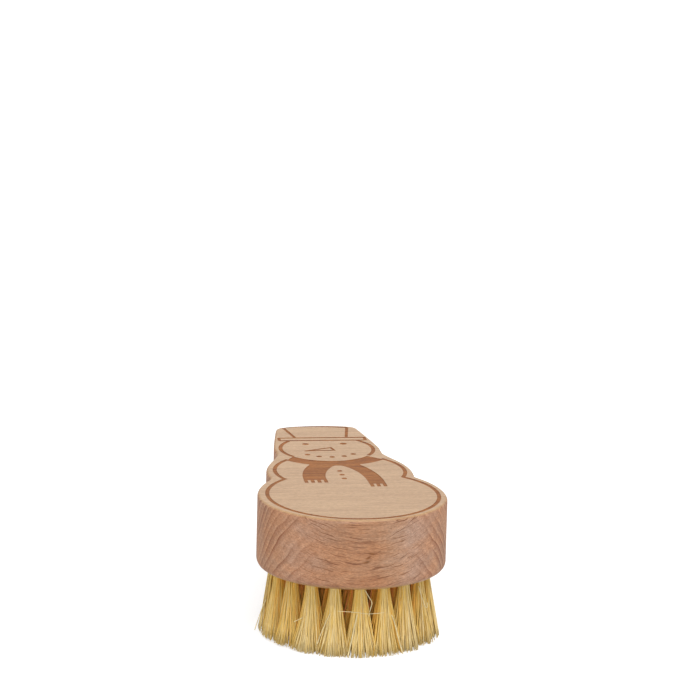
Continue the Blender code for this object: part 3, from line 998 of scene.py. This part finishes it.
def lay_fibre(bm, template, path, side, radius, both, root_shade, tints):
    """Adds one fibre along the path's points, which are as many as its rings.

    Both holds the tints of its two halves, which fall by root_shade from the ends to the mouth
    of the hole, where the fibre is painted browner as painted shade.
    """
    start = len(bm.verts)
    bm.from_mesh(template)
    bm.verts.ensure_lookup_table()
    frames = []
    for i, point in enumerate(path):
        along = (path[min(i + 1, len(path) - 1)] - path[max(i - 1, 0)]).normalized()
        across = along.cross(side).normalized()
        frames.append((point, across, across.cross(along).normalized()))
    for vert in bm.verts[start:]:
        ring = round(vert.co.z)
        point, across, up = frames[ring]
        size = radius * (END_SIZE if ring in (0, FIBRE_SPANS) else 1.0)
        vert.co = point + (across * vert.co.x + up * vert.co.y) * size
        rise = min(1, min(ring, FIBRE_SPANS - ring) / LEG_SPANS)
        vert[tints] = max(0, both[2 * ring > FIBRE_SPANS] - root_shade * rise)


def stray_path(points):
    """A smooth path through a stray's points, with one place for every ring of a fibre."""
    spots = [Vector(p) * MM for p in points]
    path = []
    for i in range(FIBRE_SPANS + 1):
        share = i / FIBRE_SPANS * (len(spots) - 1)
        span = min(int(share), len(spots) - 2)
        before, after = spots[max(span - 1, 0)], spots[min(span + 2, len(spots) - 1)]
        a, b = spots[span], spots[span + 1]
        curve = interpolate_bezier(
            a, a + (b - before) / 6, b - (after - a) / 6, b, STRAY_CURVE_POINTS + 1)
        path.append(curve[round((share - span) * STRAY_CURVE_POINTS)])
    return path


def scatter(rng, size):
    """A random level step, of about that size in mm."""
    return Vector((rng.gauss(0, size), rng.gauss(0, size), 0)) * MM


def packed_spots(count, rng):
    """Places for that many fibres on one side of the anchor, in random order."""
    golden = math.pi * (3 - math.sqrt(5))
    total = 4 * count
    spots = []
    for i in range(total):
        radius = PACK_RADIUS * math.sqrt((i + 0.5) / total)
        angle = i * golden
        spot = (radius * math.cos(angle), radius * math.sin(angle))
        if spot[0] > ANCHOR_ROOM:
            spots.append(spot)
    rng.shuffle(spots)
    return spots[:count]


def trimmed(tip, rng):
    """The tip of a fibre, drawn back into the field and cut to its height."""
    from_middle = Vector((tip.x, tip.y - FIELD_Y, 0))
    excess = from_middle.length - TIP_FIELD_RADIUS
    if excess > 0:
        tip = tip - from_middle.normalized() * excess * FIELD_PULL
    short_share = LEFT_SHORT_SHARE if tip.x < LEFT_SIDE else SHORT_SHARE
    if rng.random() > short_share:
        rise = abs(rng.gauss(0, TRIM_SCATTER))
    else:
        rise = rng.uniform(*SHORT_BY)
    worn = min(1, max(0, (-tip.x / MM - WEAR_START) / WEAR_WIDTH))
    tip.z = TIP_LEVEL + (rise + LEFT_WEAR * worn) * MM
    return tip


def fibre_half(mouth, tip, bow):
    """Points of one half of a fibre, from its tip through the mouth to the anchor's level."""
    half = []
    for k in range(LEG_SPANS + 1):
        t = 1 - k / LEG_SPANS
        point = mouth.lerp(tip, t ** DROOP)
        point.z = mouth.z + (tip.z - mouth.z) * t
        half.append(point + bow * 4 * t * (1 - t))
    return [*half, Vector((mouth.x, mouth.y, ANCHOR_LEVEL))]


def anchor_plate(bm, centre, turn):
    """Adds the flat wire that holds the folds of a tuft in its hole."""
    place = Matrix.Translation((centre.x, centre.y, ANCHOR_LEVEL - ANCHOR_HEIGHT / 2))
    size = Matrix.Diagonal((ANCHOR_THICKNESS, 2 * PACK_RADIUS, ANCHOR_HEIGHT, 1))
    plate = place @ Matrix.Rotation(turn, 4, "Z") @ size
    made = bmesh.ops.create_cube(bm, size=1.0, matrix=plate)
    rounded(bm, list({e for v in made["verts"] for e in v.link_edges}), ANCHOR_CORNER, 2)


def tuft_mesh(name, centre, template, settings, rng):
    """One tuft: fibres folded over a flat wire anchor in the hole and fanned out below it."""
    bm = bmesh.new()
    tints = bm.verts.layers.float.new(TINT_LAYER)
    outward = Vector((centre.x, centre.y - FIELD_Y, 0))
    lean = outward * (settings.lean / OUTER_RING_RADIUS)
    tangent = Vector((-outward.y, outward.x, 0)).normalized()
    centre = centre - outward * (SEAT_INWARD / OUTER_RING_RADIUS) - Vector((SEAT_LEFT, 0, 0))
    inner = min(1, 3 * (1 - outward.length / OUTER_RING_RADIUS))
    tone = rng.gauss(TUFT_TINT, TUFT_TINT_SCATTER)
    # Painted shade: the roots are painted browner, the inner rings most
    root_shade = ROOT_SHADE + INNER_ROOT_SHADE * inner
    turn = rng.uniform(0, math.pi)
    across = Vector((math.cos(turn), math.sin(turn), 0))
    along = Vector((-across.y, across.x, 0))
    wander = scatter(rng, TUFT_WANDER)
    for p, q in packed_spots(settings.folded_fibres, rng):
        p, q = p + rng.gauss(0, PACK_SCATTER) * MM, q + rng.gauss(0, PACK_SCATTER) * MM
        halves, both = [], []
        for sign in (1, -1):
            mouth = centre + across * (sign * p) + along * q
            spread = (mouth - centre) * (settings.fan / PACK_RADIUS)
            swing = Matrix.Rotation(rng.gauss(0, SWING), 3, "Z")
            spread = swing @ spread * rng.uniform(*SPREADS)
            spread += tangent * (spread.dot(tangent) * RING_STRETCH)
            tip = trimmed(centre + lean + wander + spread + scatter(rng, TIP_SCATTER), rng)
            mouth.z = UNDERSIDE
            halves.append(fibre_half(mouth, tip, scatter(rng, BOW)))
            # Painted light and shade: fibres on the outward side of the tuft are painted paler,
            # those on its inner side browner
            exposure = (mouth - centre).dot(outward) / (PACK_RADIUS * OUTER_RING_RADIUS)
            tint = rng.gauss(tone + OUTSIDE_LIGHT_TINT * exposure, FIBRE_TINT_SCATTER)
            both.append(min(1, max(LEAST_TINT, tint)))
        fold = []
        for k in range(1, FOLD_SPANS):
            angle = math.pi * k / FOLD_SPANS
            point = centre + across * (p * math.cos(angle)) + along * q
            point.z = ANCHOR_LEVEL + p * math.sin(angle)
            fold.append(point)
        path = halves[0] + fold + halves[1][::-1]
        radius = settings.radius * rng.uniform(*FIBRE_SIZES)
        lay_fibre(bm, template, path, along, radius, both, root_shade, tints)
    for owner, radius, points in STRAYS:
        if owner == name:
            lay_fibre(bm, template, stray_path(points), Vector((0, 1, 0)), radius * MM,
                      (STRAY_TINT, STRAY_TINT), 0, tints)
    fibre_faces = len(bm.faces)
    anchor_plate(bm, centre, turn)
    bm.faces.ensure_lookup_table()
    for face in bm.faces:
        face.smooth = True
    for face in bm.faces[fibre_faces:]:
        face.material_index = 1
    return bm


class DISHBRUSH_OT_tufts(bpy.types.Operator):
    """Make the tufts of plant fibre, each in its own hole"""

    bl_idname = "dishbrush.make_tufts"
    bl_label = "Fibre tufts"

    def execute(self, context):
        settings = context.scene.dishbrush_fibre
        materials = (plant_fibre(settings.fibre_colour), galvanised_wire())
        template = straight_fibre()
        rng = random.Random(settings.seed)
        for name, centre in hole_places():
            bm = tuft_mesh(name, centre, template, settings, rng)
            tuft = mesh_object(f"fibre_{name}", bm, materials)
            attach(tuft, BODY)
            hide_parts(name)
        bpy.data.meshes.remove(template)
        return {"FINISHED"}


FLOOR_RADIUS = 6.0
# The lamps' bearing from the front towards the right, height and spread, in degrees
KEY_LAMP = (20, 62, 45)
FILL_LAMP = (-9, 13, 14)

# The camera of the lower view
CAMERA_ELEVATION = math.radians(13.53)
CAMERA_AZIMUTH = math.radians(-8.62)
CAMERA_ROLL = math.radians(1.365)
CAMERA_TARGET = Vector((28.4, 193.5, 48.7)) * MM
CAMERA_DISTANCE = 1.6
CAMERA_LENS = 213.75


def soft_lamp(name, bearing, height, spread, level):
    """A soft, distant lamp in a direction given in degrees."""
    lamp = bpy.data.lights.new(name, "SUN")
    lamp.angle, lamp.energy = math.radians(spread), level
    made = bpy.data.objects.new(name, lamp)
    b, h = math.radians(bearing), math.radians(height)
    towards = Vector((math.sin(b) * math.cos(h), -math.cos(b) * math.cos(h), math.sin(h)))
    made.location = towards
    made.rotation_euler = towards.to_track_quat("Z", "Y").to_euler()
    bpy.context.scene.collection.objects.link(made)


def even_sky(strength):
    """A sky of even light from all round, which the camera sees as white."""
    world = bpy.data.worlds.new("sky")
    world.use_nodes = True
    tree = world.node_tree
    tree.nodes.clear()
    level = node(tree, "ShaderNodeMapRange", {0: seen_share(tree), 3: strength, 4: 1.0})
    sky = node(tree, "ShaderNodeBackground", {"Color": grey(1.0), "Strength": level.outputs[0]})
    out = node(tree, "ShaderNodeOutputWorld")
    tree.links.new(sky.outputs[0], out.inputs["Surface"])
    return world


def front_camera():
    """The camera, which looks at the belly's front from a little above."""
    az, el, roll = CAMERA_AZIMUTH, CAMERA_ELEVATION, CAMERA_ROLL
    back = Vector((math.sin(az) * math.cos(el), -math.cos(az) * math.cos(el), math.sin(el)))
    right = Vector((math.cos(az), math.sin(az), 0))
    up = back.cross(right)
    turned_right = right * math.cos(roll) + up * math.sin(roll)
    turned_up = up * math.cos(roll) - right * math.sin(roll)
    optics = bpy.data.cameras.new("camera")
    optics.lens, optics.sensor_width, optics.sensor_fit = CAMERA_LENS, 36.0, "HORIZONTAL"
    optics.clip_start, optics.clip_end = 0.01, 50.0
    camera = bpy.data.objects.new("camera", optics)
    basis = Matrix((turned_right, turned_up, back)).transposed().to_4x4()
    camera.matrix_world = Matrix.Translation(CAMERA_TARGET + back * CAMERA_DISTANCE) @ basis
    bpy.context.scene.collection.objects.link(camera)
    return camera


class DISHBRUSH_OT_stage(bpy.types.Operator):
    """Set the floor, the lamps, the sky and the camera"""

    bl_idname = "dishbrush.set_stage"
    bl_label = "Stage"

    def execute(self, context):
        scene = context.scene
        settings = scene.dishbrush_stage
        bm = bmesh.new()
        bmesh.ops.create_circle(bm, cap_ends=True, segments=64, radius=FLOOR_RADIUS)
        floor = mesh_object("floor", bm, (floor_finish(),))
        soft_lamp("key_lamp", *KEY_LAMP, settings.key_level)
        soft_lamp("fill_lamp", *FILL_LAMP, settings.fill_level)
        scene.world = even_sky(settings.sky_level)
        camera = front_camera()
        bpy.context.scene.camera = camera
        scene.view_settings.view_transform = "Standard"
        return {"FINISHED"}


class DISHBRUSH_PT_panel(bpy.types.Panel):
    """The brush's settings and the steps that make it"""

    bl_label = "Dish brush"
    bl_idname = "DISHBRUSH_PT_panel"
    bl_space_type = "VIEW_3D"
    bl_region_type = "UI"
    bl_category = "Dish brush"

    def draw(self, context):
        scene = context.scene
        for step, settings in ((DISHBRUSH_OT_block, scene.dishbrush_block),
                               (DISHBRUSH_OT_tufts, scene.dishbrush_fibre),
                               (DISHBRUSH_OT_stage, scene.dishbrush_stage)):
            box = self.layout.box()
            for name in settings.__annotations__:
                box.prop(settings, name)
            box.operator(step.bl_idname)


CLASSES = (BlockSettings, FibreSettings, StageSettings,
           DISHBRUSH_OT_block, DISHBRUSH_OT_tufts, DISHBRUSH_OT_stage, DISHBRUSH_PT_panel)


def register():
    for cls in CLASSES:
        bpy.utils.register_class(cls)
    bpy.types.Scene.dishbrush_block = bpy.props.PointerProperty(type=BlockSettings)
    bpy.types.Scene.dishbrush_fibre = bpy.props.PointerProperty(type=FibreSettings)
    bpy.types.Scene.dishbrush_stage = bpy.props.PointerProperty(type=StageSettings)


def unregister():
    del bpy.types.Scene.dishbrush_stage
    del bpy.types.Scene.dishbrush_fibre
    del bpy.types.Scene.dishbrush_block
    for cls in reversed(CLASSES):
        bpy.utils.unregister_class(cls)


def main():
    register()
    bpy.ops.dishbrush.set_stage()
    bpy.ops.dishbrush.make_block()
    bpy.ops.dishbrush.make_tufts()


if __name__ == "__main__":
    main()
